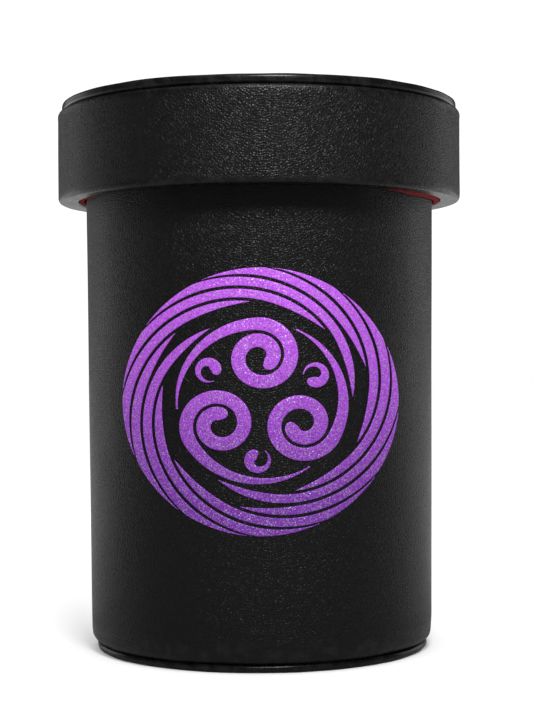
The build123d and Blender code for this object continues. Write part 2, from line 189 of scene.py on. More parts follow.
class StageSettings(bpy.types.PropertyGroup):
    camera_distance: length("Camera distance", "From the camera to the cup's axis", 420 * MM)
    camera_height: length("Camera height", "Height of the level camera", 72 * MM)
    lens: FloatProperty(name="Lens", description="Focal length in millimetres", default=81.66, min=10)
    roll: FloatProperty(
        name="Roll", description="Turn of the camera about its view", subtype="ANGLE",
        default=math.radians(0.38),
    )
    shift: FloatProperty(name="Shift", description="Sideways shift of the lens", default=0.0085)
    key_power: power("Key power", "Power of the soft box", 0.66)
    key_size: length("Key size", "Side of the soft box", 0.08)
    rear_power: power("Rear power", "Power of each rear panel", 0.42)
    top_power: power("Top power", "Power of the overhead panel", 0.25)
    top_size: length("Top size", "Side of the overhead panel", 0.4)
    surround: share("Surround", "Brightness of the room in reflections", 0.04)
    backdrop: FloatProperty(name="Backdrop", description="Brightness of the pale room", default=1.1, min=0)
    floor: colour("Floor", "Colour of the pale floor", (0.97, 0.97, 0.97))
    floor_front: share("Floor in front", "Share of the front floor's colour that reaches the cup", 0.26)
    floor_behind: share("Floor behind", "Share of the rear floor's colour that reaches the cup", 0.75)


class DiceCupSettings(bpy.types.PropertyGroup):
    cup: PointerProperty(type=CupSettings)
    lid: PointerProperty(type=LidSettings)
    disc: PointerProperty(type=DiscSettings)
    hand: PointerProperty(type=HandSettings)
    ornament: PointerProperty(type=OrnamentSettings)
    finish: PointerProperty(type=FinishSettings)
    stage: PointerProperty(type=StageSettings)


def settings():
    return bpy.context.scene.dice_cup


# ---------------------------------------------------------------------------
# Surfaces
# ---------------------------------------------------------------------------
def smooth_step(x):
    """0 below 0, 1 above 1, and 3x^2 - 2x^3 between."""
    x = np.clip(x, 0, 1)
    return x * x * (3 - 2 * x)


def draws(piece):
    """A piece's own source of random draws, so that pieces can be made in any order."""
    return np.random.default_rng(settings().hand.seed + piece)


def outline(corners, spacing, closed=True):
    """Points and edge weights along (radius, height[, rounding]) corners, anticlockwise.

    A rounding is the circle's arc that touches both sides at A and B. With P the corner and w the
    sine of half its angle, it is the conic ((1-s)^2 A + 2s(1-s)w P + s^2 B) over the same sum of
    weights. Straight stretches are divided evenly. The weight is 1 on an arc and fades to 0 over
    half a spacing from it.
    """
    at = np.array([corner[:2] for corner in corners], float)
    rounding = np.array([corner[2] if len(corner) > 2 else 0 for corner in corners], float)
    following = np.roll(at, -1, axis=0)
    area = np.sum(at[:, 0] * following[:, 1] - following[:, 0] * at[:, 1])
    if area < 0:
        at, rounding = at[::-1], rounding[::-1]
    before, after = np.roll(at, 1, axis=0) - at, np.roll(at, -1, axis=0) - at
    before /= np.linalg.norm(before, axis=1)[:, None]
    after /= np.linalg.norm(after, axis=1)[:, None]
    half_angle = np.arccos(np.clip(np.sum(before * after, axis=1), -1, 1)) / 2
    touch = rounding / np.tan(half_angle)
    points, on_arc = [], []
    count = len(at)
    for i in range(count):
        steps = ARC_POINTS if rounding[i] > 0 else 1
        s = np.linspace(0, 1, steps)[:, None] if steps > 1 else np.zeros((1, 1))
        first = at[i] + before[i] * touch[i]
        last = at[i] + after[i] * touch[i]
        weight = math.sin(half_angle[i])
        middle = 2 * s * (1 - s) * weight
        total = (1 - s) ** 2 + middle + s**2
        points.append(((1 - s) ** 2 * first + middle * at[i] + s**2 * last) / total)
        on_arc.append(np.full(steps, float(steps > 1)))
        if i == count - 1 and not closed:
            break
        start = points[-1][-1]
        end = at[(i + 1) % count] + before[(i + 1) % count] * touch[(i + 1) % count]
        pieces = max(int(np.linalg.norm(end - start) / spacing), 1)
        s = np.arange(1, pieces)[:, None] / pieces
        points.append(start + (end - start) * s)
        on_arc.append(np.zeros(len(s)))
    points, on_arc = np.vstack(points), np.concatenate(on_arc)
    return points, edge_weight(points, on_arc, 0.5 * spacing)


def edge_weight(points, on_arc, fade):
    """1 on the arcs, falling to 0 as the distance to the nearest arc point reaches the fade."""
    arcs = points[on_arc > 0.5]
    if not len(arcs):
        return np.zeros(len(points))
    apart = np.linalg.norm(points[:, None] - arcs[None], axis=2).min(axis=1)
    return 1 - smooth_step(apart / fade)


def outline_normals(points, closed):
    """Unit normals out of an anticlockwise outline: its tangent turned clockwise by 90 degrees."""
    if closed:
        tangent = np.roll(points, -1, axis=0) - np.roll(points, 1, axis=0)
    else:
        tangent = np.gradient(points, axis=0)
    tangent /= np.maximum(np.linalg.norm(tangent, axis=1), 1e-12)[:, None]
    return np.stack([tangent[:, 1], -tangent[:, 0]], axis=1)


def turned_angles(count, seam_half=0.0, seam_count=0):
    """Angles round the axis, evenly spaced, with more of them within seam_half of the back."""
    if not seam_count:
        return BACK + np.arange(count) * FULL_TURN / count
    rest = np.linspace(BACK + seam_half, BACK + FULL_TURN - seam_half, count)
    dense = BACK - seam_half + 2 * seam_half * np.arange(1, seam_count) / seam_count
    return np.concatenate([dense, rest])


def angle_from(angles, centre):
    """Signed angle from the centre, between minus and plus half a turn."""
    return (angles - centre + math.pi) % FULL_TURN - math.pi


def waves(angles, along, depth, rng, count=14, turns=9, per_metre=120):
    """Sum of sines in the angle and the distance along the outline, with whole turns so it closes."""
    k = rng.integers(1, turns + 1, count)
    q = rng.uniform(-per_metre, per_metre, count)
    phase = rng.uniform(0, FULL_TURN, count)
    weight = rng.uniform(0.4, 1.0, count) / np.sqrt(k)
    field = np.sin(k * angles[None, :, None] + q * along[:, None, None] + phase) * weight
    usual = np.sqrt((weight**2).sum() / 2)
    return 0.7 * depth * field.sum(axis=2) / usual


def pleats(angles, count, depth, width, rng):
    """Gathers of a turned edge: `count` bell-shaped grooves at jittered angles, none alike."""
    pitch = FULL_TURN / count
    centre = (np.arange(count) + rng.uniform(-0.3, 0.3, count)) * pitch
    deep = depth * rng.uniform(0.25, 1.0, count)
    wide = width * rng.uniform(0.6, 1.5, count)
    apart = angle_from(angles[:, None], centre[None])
    return -(deep * np.exp(-((apart / wide) ** 2))).sum(axis=1)


def seam(angles, along, radius, width, depth, rng):
    """A butted seam: a bell-shaped groove with low lips, on a line that wanders a little."""
    wander = waves(np.zeros(1), along, 0.12 * MM, rng, per_metre=260)[:, 0]
    apart = angle_from(angles[None], BACK) * radius - wander[:, None]
    groove = -depth * np.exp(-((apart / (0.5 * width)) ** 2))
    lips = 0.22 * depth * np.exp(-(((np.abs(apart) - 1.25 * width) / (0.6 * width)) ** 2))
    return groove + lips


def lathe(points, angles, lift, closed):
    """Carry an outline round the axis, and push each point out along its normal by lift.

    The point at (radius r, height z) with normal (n, m) goes to radius r + n*lift and height
    z + m*lift at each angle. An open outline starts and ends on the axis, in one point each.
    """
    normal = outline_normals(points, closed)
    radius = points[:, :1] + normal[:, :1] * lift
    height = points[:, 1:] + normal[:, 1:] * lift
    grid = np.stack([radius * np.cos(angles), radius * np.sin(angles), height], axis=2)
    rows, columns = radius.shape
    number = np.arange(rows * columns).reshape(rows, columns)
    if closed:
        number = np.vstack([number, number[:1]])
        vertices = grid.reshape(-1, 3)
    else:
        number = number[:-2]
        vertices = grid[1:-1].reshape(-1, 3)
    beside = np.roll(number, -1, axis=1)
    quads = np.stack([number[:-1], beside[:-1], beside[1:], number[1:]], axis=2).reshape(-1, 4)
    if closed:
        return vertices, quads.tolist()
    poles = np.array([[0, 0, points[0, 1]], [0, 0, points[-1, 1]]])
    first = np.full(columns, len(vertices))
    last = first + 1
    start_fan = np.stack([first, beside[0], number[0]], axis=1)
    end_fan = np.stack([last, number[-1], beside[-1]], axis=1)
    return np.vstack([vertices, poles]), quads.tolist() + start_fan.tolist() + end_fan.tolist()


def add_piece(name, vertices, faces, material, body, nodes, edge=None, sharp=math.radians(50)):
    """Make the mesh object, ride it on its body's empty, and hide the nodes it stands for."""
    mesh = bpy.data.meshes.new(name)
    mesh.from_pydata(vertices.tolist(), [], faces)
    mesh.polygons.foreach_set("use_smooth", np.ones(len(mesh.polygons), bool))
    mesh.set_sharp_from_angle(angle=sharp)
    if edge is not None:
        attribute = mesh.attributes.new("edge", "FLOAT", "POINT")
        attribute.data.foreach_set("value", edge.astype(np.float32))
    mesh.materials.append(material)
    mesh.validate()
    mesh.update()
    piece = bpy.data.objects.new(name, mesh)
    bpy.context.scene.collection.objects.link(piece)
    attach(piece, body)
    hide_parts(*nodes)
    return piece


def spread(values, columns, closed):
    """Repeat one value per outline point round the axis, in lathe's order of vertices."""
    if closed:
        return np.repeat(values, columns)
    return np.concatenate([np.repeat(values[1:-1], columns), values[[0, -1]]])


def distance_along(points):
    return np.concatenate([[0], np.cumsum(np.linalg.norm(np.diff(points, axis=0), axis=1))])


# ---------------------------------------------------------------------------
# Shader nodes
# ---------------------------------------------------------------------------
def place(tree, kind, inputs=None, **options):
    """Add a shader node with its options, and feed each input a value or another node's socket."""
    node = tree.nodes.new(f"ShaderNode{kind}")
    for key, value in options.items():
        setattr(node, key, value)
    for key, value in (inputs or {}).items():
        if isinstance(value, bpy.types.NodeSocket):
            tree.links.new(value, node.inputs[key])
        else:
            node.inputs[key].default_value = value
    return node


def maths(tree, operation, *values, clamp=False):
    node = place(tree, "Math", dict(enumerate(values)), operation=operation, use_clamp=clamp)
    return node.outputs[0]


def vector_maths(tree, operation, first, second=None, scale=None):
    inputs = {0: first}
    if second is not None:
        inputs[1] = second
    if scale is not None:
        inputs["Scale"] = scale
    return place(tree, "VectorMath", inputs, operation=operation).outputs[0]


def ease(tree, value, low, high, to_low=0.0, to_high=1.0):
    """Map low..high to to_low..to_high along a smooth step."""
    inputs = {"Value": value, "From Min": low, "From Max": high, "To Min": to_low, "To Max": to_high}
    return place(tree, "MapRange", inputs, interpolation_type="SMOOTHSTEP").outputs[0]


def mix(tree, factor, first, second):
    """Blend two colours."""
    inputs = {0: factor, 6: first, 7: second}
    return place(tree, "Mix", inputs, data_type="RGBA").outputs[2]


def noise(tree, vector, scale, detail, distortion=0.0):
    inputs = {"Vector": vector, "Scale": scale, "Detail": detail, "Distortion": distortion}
    return place(tree, "TexNoise", inputs).outputs[0]


def channel(tree, colour, index):
    """Red, green or blue of a colour."""
    return place(tree, "SeparateColor", {0: colour}).outputs[index]


def voronoi(tree, vector, scale=1.0, randomness=1.0, feature="F1"):
    inputs = {"Vector": vector, "Scale": scale, "Randomness": randomness}
    return place(tree, "TexVoronoi", inputs, feature=feature).outputs


def new_group(name, values, outputs):
    """An empty node group: a Vector, then a number per value, in, and numbers or a Normal out."""
    group = bpy.data.node_groups.new(name, "ShaderNodeTree")
    group.interface.new_socket(name="Vector", in_out="INPUT", socket_type="NodeSocketVector")
    for label, default in values.items():
        socket = group.interface.new_socket(name=label, in_out="INPUT", socket_type="NodeSocketFloat")
        socket.default_value = default
    for label in outputs:
        kind = "Vector" if label == "Normal" else "Float"
        group.interface.new_socket(name=label, in_out="OUTPUT", socket_type=f"NodeSocket{kind}")
    return group, group.nodes.new("NodeGroupInput").outputs, group.nodes.new("NodeGroupOutput").inputs


def grain_group():
    """Pebbled leather grain: rounded cells of uneven height, with narrow creases between them."""
    values = {"Pitch": 0.66 * MM, "Wander": 0.35}
    group, given, result = new_group("Leather grain", values, ["Height", "Crease"])
    per_cell = maths(group, "DIVIDE", 1.0, given["Pitch"])
    cells = vector_maths(group, "SCALE", given["Vector"], scale=per_cell)
    drift = place(group, "TexNoise", {"Vector": cells, "Scale": 0.45, "Detail": 2.0})
    drift = vector_maths(group, "SUBTRACT", drift.outputs["Color"], (0.5, 0.5, 0.5))
    drift = vector_maths(group, "SCALE", drift, scale=maths(group, "MULTIPLY", given["Wander"], 3.0))
    bent = vector_maths(group, "ADD", cells, drift)
    rim = voronoi(group, bent, 1.0, 0.9, "DISTANCE_TO_EDGE")["Distance"]
    from_top = maths(group, "SUBTRACT", 1.0, maths(group, "MULTIPLY", rim, 2.0, clamp=True))
    pebble = maths(group, "SUBTRACT", 1.0, maths(group, "POWER", from_top, 2.2))
    tint = voronoi(group, bent, 1.0, 0.9)["Color"]
    tall = maths(group, "MULTIPLY_ADD", channel(group, tint, 0), 0.5, 0.6)
    height = maths(group, "MULTIPLY", pebble, tall)
    height = maths(group, "MULTIPLY_ADD", noise(group, cells, 3.2, 3.0), 0.22, height)
    group.links.new(height, result["Height"])
    group.links.new(ease(group, rim, 0.0, 0.14, 1.0, 0.0), result["Crease"])
    return group


def wear_group():
    """Rubbed edges: an edge mask broken up by cloudy noise."""
    values = {"Edge": 0.0, "Amount": 0.5, "Scale": 400.0}
    group, given, result = new_group("Edge wear", values, ["Mask"])
    patchy = ease(group, noise(group, given["Vector"], given["Scale"], 4.0), 0.42, 0.68)
    worn = maths(group, "MULTIPLY", patchy, given["Edge"])
    group.links.new(maths(group, "MULTIPLY", worn, given["Amount"], clamp=True), result["Mask"])
    return group


def lint_group():
    """A few specks of dust and lint: one small dot in a share of the cells."""
    group, given, result = new_group("Lint", {"Per Metre": 260.0, "Share": 0.1}, ["Mask"])
    dots = voronoi(group, given["Vector"], given["Per Metre"])
    near = ease(group, dots["Distance"], 0.03, 0.07, 1.0, 0.0)
    chosen = maths(group, "LESS_THAN", channel(group, dots["Color"], 1), given["Share"])
    group.links.new(maths(group, "MULTIPLY", near, chosen), result["Mask"])
    return group


def pile_group():
    """Velvet: brushed patches that lean different ways, over the fine pile itself; the second output is
    painted sheen and shade for the colour.
    """
    values = {"Pile": 5200.0, "Patch": 90.0}
    group, given, result = new_group("Velvet pile", values, ["Height", "Painted sheen and shade"])
    drawn = vector_maths(group, "MULTIPLY", given["Vector"], (1.0, 1.0, 0.35))
    fibre = noise(group, given["Vector"], given["Pile"], 2.0)
    lean = ease(group, noise(group, drawn, given["Patch"], 3.0, 0.8), 0.34, 0.66)
    lean = maths(group, "MULTIPLY_ADD", fibre, 0.5, maths(group, "MULTIPLY", lean, 0.6))
    group.links.new(fibre, result["Height"])
    group.links.new(maths(group, "MULTIPLY", lean, 0.95, clamp=True), result["Painted sheen and shade"])
    return group


def flake_group():
    """Glitter: flat flakes that lie at slightly different tilts and shades, and spark flakes whose lighter
    colour is a painted glint.
    """
    values = {"Size": 0.22 * MM, "Tilt": 0.5}
    group, given, result = new_group("Glitter flakes", values, ["Shade", "Spark", "Normal"])
    cells = vector_maths(group, "SCALE", given["Vector"], scale=maths(group, "DIVIDE", 1.0, given["Size"]))
    flake = voronoi(group, cells)["Color"]
    tilt = vector_maths(group, "SUBTRACT", flake, (0.5, 0.5, 0.5))
    tilt = vector_maths(group, "SCALE", tilt, scale=given["Tilt"])
    facing = place(group, "NewGeometry").outputs["Normal"]
    tilted = vector_maths(group, "NORMALIZE", vector_maths(group, "ADD", facing, tilt))
    group.links.new(channel(group, flake, 0), result["Shade"])
    group.links.new(ease(group, channel(group, flake, 1), 0.74, 0.92), result["Spark"])
    group.links.new(tilted, result["Normal"])
    return group


GROUP_MAKERS = {
    "Leather grain": grain_group,
    "Edge wear": wear_group,
    "Lint": lint_group,
    "Velvet pile": pile_group,
    "Glitter flakes": flake_group,
}


def use_group(tree, name, inputs):
    """Place a shared group in a material, making the group the first time."""
    group = bpy.data.node_groups.get(name) or GROUP_MAKERS[name]()
    return place(tree, "Group", inputs, node_tree=group).outputs


def new_material(name):
    """An empty material with its surface shader, and the coordinates of the piece."""
    material = bpy.data.materials.new(name)
    material.use_nodes = True
    tree = material.node_tree
    tree.nodes.clear()
    shader = tree.nodes.new("ShaderNodeBsdfPrincipled")
    output = tree.nodes.new("ShaderNodeOutputMaterial")
    tree.links.new(shader.outputs[0], output.inputs["Surface"])
    where = tree.nodes.new("ShaderNodeTexCoord").outputs["Object"]
    return material, tree, shader.inputs, where


def full(rgb, dim=1.0):
    """A colour dimmed to a share of itself, with full alpha."""
    return (*(dim * c for c in rgb), 1.0)


def edge_attribute(tree):
    """The piece's own weight, 1 along its rolled and cut edges."""
    node = place(tree, "Attribute", attribute_name="edge", attribute_type="GEOMETRY")
    return node.outputs["Fac"]


def add_bump(tree, shader, height, depth, strength=1.0, normal=None):
    inputs = {"Strength": strength, "Distance": depth, "Height": height}
    if normal is not None:
        inputs["Normal"] = normal
    tree.links.new(place(tree, "Bump", inputs).outputs[0], shader["Normal"])


def leather_material(name, wear, roughness_shift=0.0, depth_share=1.0, stretch=0.6):
    """Black pebbled leather, with painted shade darkening its creases, a little lint, and rubbed and
    stretched smooth along its edges.
    """
    finish = settings().finish
    material, tree, shader, where = new_material(name)
    grain = use_group(tree, "Leather grain", {"Vector": where, "Pitch": finish.grain_pitch})
    edge = edge_attribute(tree)
    worn = use_group(tree, "Edge wear", {"Vector": where, "Edge": edge, "Amount": wear})["Mask"]
    lint = use_group(tree, "Lint", {"Vector": where})["Mask"]
    cloud = noise(tree, where, 55.0, 4.0)
    # Painted shade: the grain's creases are painted at 0.55 of the leather's colour.
    body = mix(tree, grain["Crease"], full(finish.leather), full(finish.leather, 0.55))
    body = mix(tree, worn, body, full(finish.leather_worn))
    tree.links.new(mix(tree, lint, body, full(finish.lint)), shader["Base Color"])
    smooth = finish.leather_roughness + roughness_shift
    rough = maths(tree, "MULTIPLY_ADD", cloud, 0.10, smooth - 0.05)
    rough = maths(tree, "MULTIPLY_ADD", grain["Crease"], 0.16, rough)
    rough = maths(tree, "MULTIPLY_ADD", edge, -0.07, rough)
    tree.links.new(maths(tree, "MULTIPLY_ADD", lint, 0.3, rough, clamp=True), shader["Roughness"])
    stretched = maths(tree, "MULTIPLY_ADD", edge, -stretch, 1.0)
    height = maths(tree, "MULTIPLY", grain["Height"], stretched)
    add_bump(tree, shader, height, finish.grain_depth * depth_share)
    shader["Specular IOR Level"].default_value = 0.42
    shader["IOR"].default_value = 1.40
    return material


def velvet_material(name):
    """Red velvet: painted shade between the fibres, painted sheen along the brushed patches, and a soft
    sheen.
    """
    finish = settings().finish
    material, tree, shader, where = new_material(name)
    pile = use_group(tree, "Velvet pile", {"Vector": where})
    lint = use_group(tree, "Lint", {"Vector": where, "Per Metre": 190.0, "Share": 0.12})["Mask"]
    # Painted sheen and shade: the pile's pattern mixes the deep colour into the bright one.
    body = mix(tree, pile["Painted sheen and shade"], full(finish.velvet_painted_shade), full(finish.velvet))
    tree.links.new(mix(tree, lint, body, (0.45, 0.25, 0.25, 1)), shader["Base Color"])
    shader["Roughness"].default_value = 0.92
    shader["Sheen Weight"].default_value = 0.55
    shader["Sheen Roughness"].default_value = 0.35
    shader["Sheen Tint"].default_value = (1.0, 0.20, 0.24, 1)
    shader["Specular IOR Level"].default_value = 0.15
    add_bump(tree, shader, pile["Height"], 0.12 * MM, 0.8)
    return material


def glitter_material(name):
    """Purple glitter film, painted lighter towards the top and darker towards the foot as painted light and
    shade, with the leather's grain just showing through it.
    """
    ornament, finish = settings().ornament, settings().finish
    material, tree, shader, where = new_material(name)
    flakes = use_group(tree, "Glitter flakes", {"Vector": where, "Size": ornament.flake, "Tilt": 0.55})
    grain = use_group(tree, "Leather grain", {"Vector": where, "Pitch": finish.grain_pitch})
    edge = edge_attribute(tree)
    # Painted light and shade: up the ornament's height, the colour runs from the darker foot colour to the
    # lighter top colour.
    height = place(tree, "SeparateXYZ", {0: where}).outputs["Z"]
    foot = ornament.centre_height - ornament.half_height
    up = ease(tree, height, foot, foot + 2 * ornament.half_height)
    film = mix(tree, up, full(ornament.colour_foot_painted_shade), full(ornament.colour_top_painted_light))
    dark = mix(tree, 0.38, film, (0, 0, 0, 1))
    light = mix(tree, 0.35, film, (1, 1, 1, 1))
    body = mix(tree, flakes["Shade"], dark, film)
    # Painted glints: the spark flakes are whitened in their colour, on top of their real, more metallic
    # shine.
    body = mix(tree, flakes["Spark"], body, light)
    rubbed = {"Vector": where, "Edge": edge, "Amount": 0.5, "Scale": 900.0}
    worn = use_group(tree, "Edge wear", rubbed)["Mask"]
    tree.links.new(mix(tree, worn, body, dark), shader["Base Color"])
    tree.links.new(maths(tree, "MULTIPLY_ADD", flakes["Spark"], 0.5, 0.1), shader["Metallic"])
    tree.links.new(maths(tree, "MULTIPLY_ADD", flakes["Shade"], 0.2, 0.38), shader["Roughness"])
    add_bump(tree, shader, grain["Height"], 0.3 * finish.grain_depth, normal=flakes["Normal"])
    return material


def board_material(name):
    """Grey board: pulp fibres of several browns, with darker flecks."""
    finish = settings().finish
    material, tree, shader, where = new_material(name)
    pulp = noise(tree, where, 700.0, 6.0)
    drawn = vector_maths(tree, "MULTIPLY", where, (1.0, 1.0, 6.0))
    fibre = noise(tree, drawn, 1800.0, 3.0)
    fleck = use_group(tree, "Lint", {"Vector": where, "Per Metre": 520.0, "Share": 0.3})["Mask"]
    body = mix(tree, ease(tree, pulp, 0.35, 0.65), full(finish.board, 0.62), full(finish.board))
    tree.links.new(mix(tree, fleck, body, (0.09, 0.07, 0.055, 1)), shader["Base Color"])
    tree.links.new(maths(tree, "MULTIPLY_ADD", fibre, 0.15, 0.8), shader["Roughness"])
    height = maths(tree, "MULTIPLY_ADD", fibre, 0.6, pulp)
    add_bump(tree, shader, height, 0.08 * MM, 0.7)
    return material


def foam_material(name):
    """Closed-cell foam: small round cells with painted shade in their pits, a few of them open and painted
    darker.
    """
    finish = settings().finish
    material, tree, shader, where = new_material(name)
    cells = voronoi(tree, where, 2600.0)
    # Painted shade: each cell is darker towards its centre, and a few open cells are darker again.
    wall = ease(tree, cells["Distance"], 0.2, 0.6)
    painted_shade_holes = maths(tree, "LESS_THAN", channel(tree, cells["Color"], 0), 0.12)
    dark = full(finish.foam, 0.6)
    body = mix(tree, wall, dark, full(finish.foam))
    tree.links.new(mix(tree, maths(tree, "MULTIPLY", painted_shade_holes, 0.6), body, dark), shader["Base Color"])
    tree.links.new(maths(tree, "MULTIPLY_ADD", wall, 0.1, 0.82), shader["Roughness"])
    add_bump(tree, shader, wall, 0.15 * MM, 0.6)
    return material


MATERIAL_MAKERS = {
    "sleeve leather": lambda name: leather_material(name, 0.5),
    "disc leather": lambda name: leather_material(name, 0.7, -0.04, 0.5, 0.9),
    "band leather": lambda name: leather_material(name, 0.6),
    "red velvet": velvet_material,
    "glitter film": glitter_material,
    "grey board": board_material,
    "foam": foam_material,
}


def finish_of(name):
    """The named material, made the first time it is asked for."""
    return bpy.data.materials.get(name) or MATERIAL_MAKERS[name](name)


# ---------------------------------------------------------------------------
# Shapes shared by more than one piece
# ---------------------------------------------------------------------------
def wall_radius(z, inset=0.0):
    """Radius of the cup's straight taper at height z, set in from the leather's face."""
    cup = settings().cup
    low, high = heights("cup_wall_leather")
    start = low + cup.foot_round_height
    return cup.foot_radius + (cup.rim_radius - cup.foot_radius) * (z - start) / (high - start) - inset


def on_wall(z, inset=0.0, *rounding):
    """A corner of an outline at height z, set in from the cup's taper, with its rounding if any."""
    return (wall_radius(z, inset), z, *rounding)


def turned_piece(name, node, body, finish, points, edge, angles, lift, closed=True):
    """An outline carried round the axis, as a piece that stands for one node."""
    vertices, faces = lathe(points, angles, lift, closed)
    edge = spread(edge, len(angles), closed)
    return add_piece(name, vertices, faces, finish_of(finish), body, [node], edge)


def covered_disc(name, node, body, shown, hidden, radius, rng):
    """Leather wrapped round a flat disc: a flat face, a rolled edge, and a gathered turn-in.

    The outline runs from the axis over the shown face, round the edge and in over the hidden
    face, then back along the board, and is carried round the axis.
    """
    disc, hand = settings().disc, settings().hand
    thick = math.copysign(disc.leather, hidden - shown)
    inner = radius - disc.leather
    corners = [
        (0, shown),
        (radius, shown, disc.shown_round),
        (radius, hidden, disc.hidden_share * abs(hidden - shown)),
        (inner - disc.turn_in, hidden),
        (inner - disc.turn_in, hidden - thick),
        (inner, hidden - thick),
        (inner, shown + thick),
        (0, shown + thick),
    ]
    points, edge = outline(corners, 1.6 * MM, closed=False)
    angles = turned_angles(360)
    along = distance_along(points)
    outer = smooth_step((points[:, 0] - inner + 2.5 * MM) / (2.5 * MM)) * (edge > 0.02)
    lift = outer[:, None] * waves(angles, along, 0.45 * hand.edge_wave, rng, turns=26, per_metre=300)
    face = (np.abs(points[:, 1] - shown) < ON_FACE) & (points[:, 0] < radius - 1.5 * disc.shown_round)
    ripple = waves(angles, along, 0.5 * hand.wave, rng, turns=5)
    dip = -0.6 * hand.wave + ripple * 0.5
    lift += (face * smooth_step(points[:, 0] / (6 * MM)))[:, None] * np.minimum(dip, 0)
    on_hidden = (np.abs(points[:, 1] - hidden) < ON_FACE) & (points[:, 0] < radius - 1.5 * MM)
    lift += on_hidden[:, None] * pleats(angles, 84, hand.pleat_depth, 0.012, rng)[None]
    return turned_piece(
        name, node, body, "disc leather", points, edge, angles, lift, closed=False
    )


def pad(name, node, body, corners, dent, rng, spacing=2 * MM, closed=True):
    """Foam padding, cut square and pressed: between its edges, its faces sink by about the dent."""
    points, edge = outline(corners, spacing, closed)
    angles = turned_angles(240)
    along = distance_along(points)
    lift = (1 - edge)[:, None] * (waves(angles, along, dent, rng, turns=14, per_metre=200) - dent)
    lift = np.clip(lift, -3 * dent, 0)
    piece = turned_piece(name, node, body, "foam", points, edge, angles, lift, closed)
    return piece


def velvet_piece(name, node, body, corners, rng, spacing=1.6 * MM, closed=True, sag=None):
    """Velvet bonded to board: the outline carried round, with the pile's small unevenness.

    Where a sag is given, as a depth for each angle, the lower edge hangs down by that much.
    """
    hand = settings().hand
    points, edge = outline(corners, spacing, closed)
    angles = turned_angles(420)
    along = distance_along(points)
    nap = waves(angles, along, hand.pile, rng, count=40, turns=180, per_metre=2200)
    soft = waves(angles, along, 0.8 * hand.pile, rng, turns=12, per_metre=150)
    lift = np.clip(nap + soft - hand.pile, -3 * hand.pile, 0)
    if not closed:
        lift = lift * smooth_step(points[:, 0] / (4 * MM))[:, None]
    if sag is not None:
        lowest = points[:, 1] < points[:, 1].min() + MM
        facing_down = np.clip(-outline_normals(points, closed)[:, 1], 0, 1) * lowest
        lift = lift + facing_down[:, None] * sag(angles)[None]
    return turned_piece(name, node, body, "red velvet", points, edge, angles, lift, closed)


# ---------------------------------------------------------------------------
# The ornament: strokes on a roundel of radius 1
# ---------------------------------------------------------------------------
ARMS = 3
BLADES_PER_ARM = 4
BLADE_STARTS = (0.05, 0.35, 0.62, 0.86)
BLADE_ROOT = 0.645
BLADE_TURN = math.radians(118)
BLADE_GAP = 0.024
BLADE_SWELL = 0.6
BLADE_SWELL_POWER = 0.8
BLADE_TIP_GAP = 0.012
GAP_START = 1.25
GAP_FALL = 0.85
GAP_POWER = 4
GAP_LEAST = 0.4
TIP = 0.004
SCROLL_CENTRE = 0.335
SCROLL_EYE = 0.066
SCROLL_RADIUS = 0.246
SCROLL_TURNS = 1.45
SCROLL_TAIL = math.radians(95)
SCROLL_TAIL_DRIFT = 0.012
SCROLL_WIDTH = (0.051, 0.048)
SCROLL_TAPER = (0.42, 0.7)  # share of the length that tapers, and the power of the taper
CURL_CENTRE = (0.435, math.radians(27))
CURL_RADII = (0.046, 0.088)
CURL_START = math.radians(205)
CURL_TURNS = 0.92
CURL_WIDTH = 0.040
CURL_CAP = 0.13
CURL_TAPER = (0.8, 0.8)
CAP_FLOOR = 0.003  # keeps the ends of a stroke from closing to a point
TAPER_FLOOR = 0.06
FILM_ACROSS = (-1, -0.985, -0.94, -0.8, -0.4, 0, 0.4, 0.8, 0.94, 0.985, 1)
FILM_POWER = 6


def polar(radius, angle, centre=(0.0, 0.0)):
    return np.stack([centre[0] + radius * np.cos(angle), centre[1] + radius * np.sin(angle)], axis=-1)


def blade_edges(index, samples=150):
    """Both edges of a blade.

    The outer edge is r = root + rise * turn, held at the rim's r = 1. The inner edge is the next
    blade's outer edge plus a gap, so that twelve blades nest, and the root swells as a sine.
    """
    pitch = FULL_TURN / (ARMS * BLADES_PER_ARM)
    rise = (1 - BLADE_ROOT) / BLADE_TURN
    end = BLADE_TURN + pitch - BLADE_TIP_GAP / rise
    turn = np.linspace(BLADE_STARTS[index], end, samples)
    narrowing = GAP_START - GAP_FALL * ((turn - pitch) / BLADE_TURN) ** GAP_POWER
    gap = BLADE_GAP * np.clip(narrowing, GAP_LEAST, 1)
    swell = np.sin(np.pi / 2 * np.clip((turn - turn[0]) / BLADE_SWELL, 0, 1)) ** BLADE_SWELL_POWER
    outer = np.minimum(BLADE_ROOT + rise * turn, 1)
    width = outer - (BLADE_ROOT + rise * (turn - pitch) + gap)
    inner = outer - np.maximum(width * swell, TIP)
    return polar(outer, index * pitch + turn), polar(inner, index * pitch + turn)


def stroke_edges(line, half_width):
    """Both edges of a stroke, the outer first: its centre line moved square to itself by the half width."""
    along = np.gradient(line, axis=0)
    along /= np.linalg.norm(along, axis=1)[:, None]
    across = np.stack([-along[:, 1], along[:, 0]], axis=1)
    return line - across * half_width[:, None], line + across * half_width[:, None]


def rounded_taper(distance, total, cap, taper, exponent):
    """Grow as a round cap does from the start, and shrink to a tip over the last share."""
    share_of_cap = np.clip(distance / cap, 0, 1)
    start = np.sqrt(np.maximum(1 - (1 - share_of_cap) ** 2, CAP_FLOOR))
    return start * np.clip((1 - distance / total) / taper, TAPER_FLOOR, 1) ** exponent


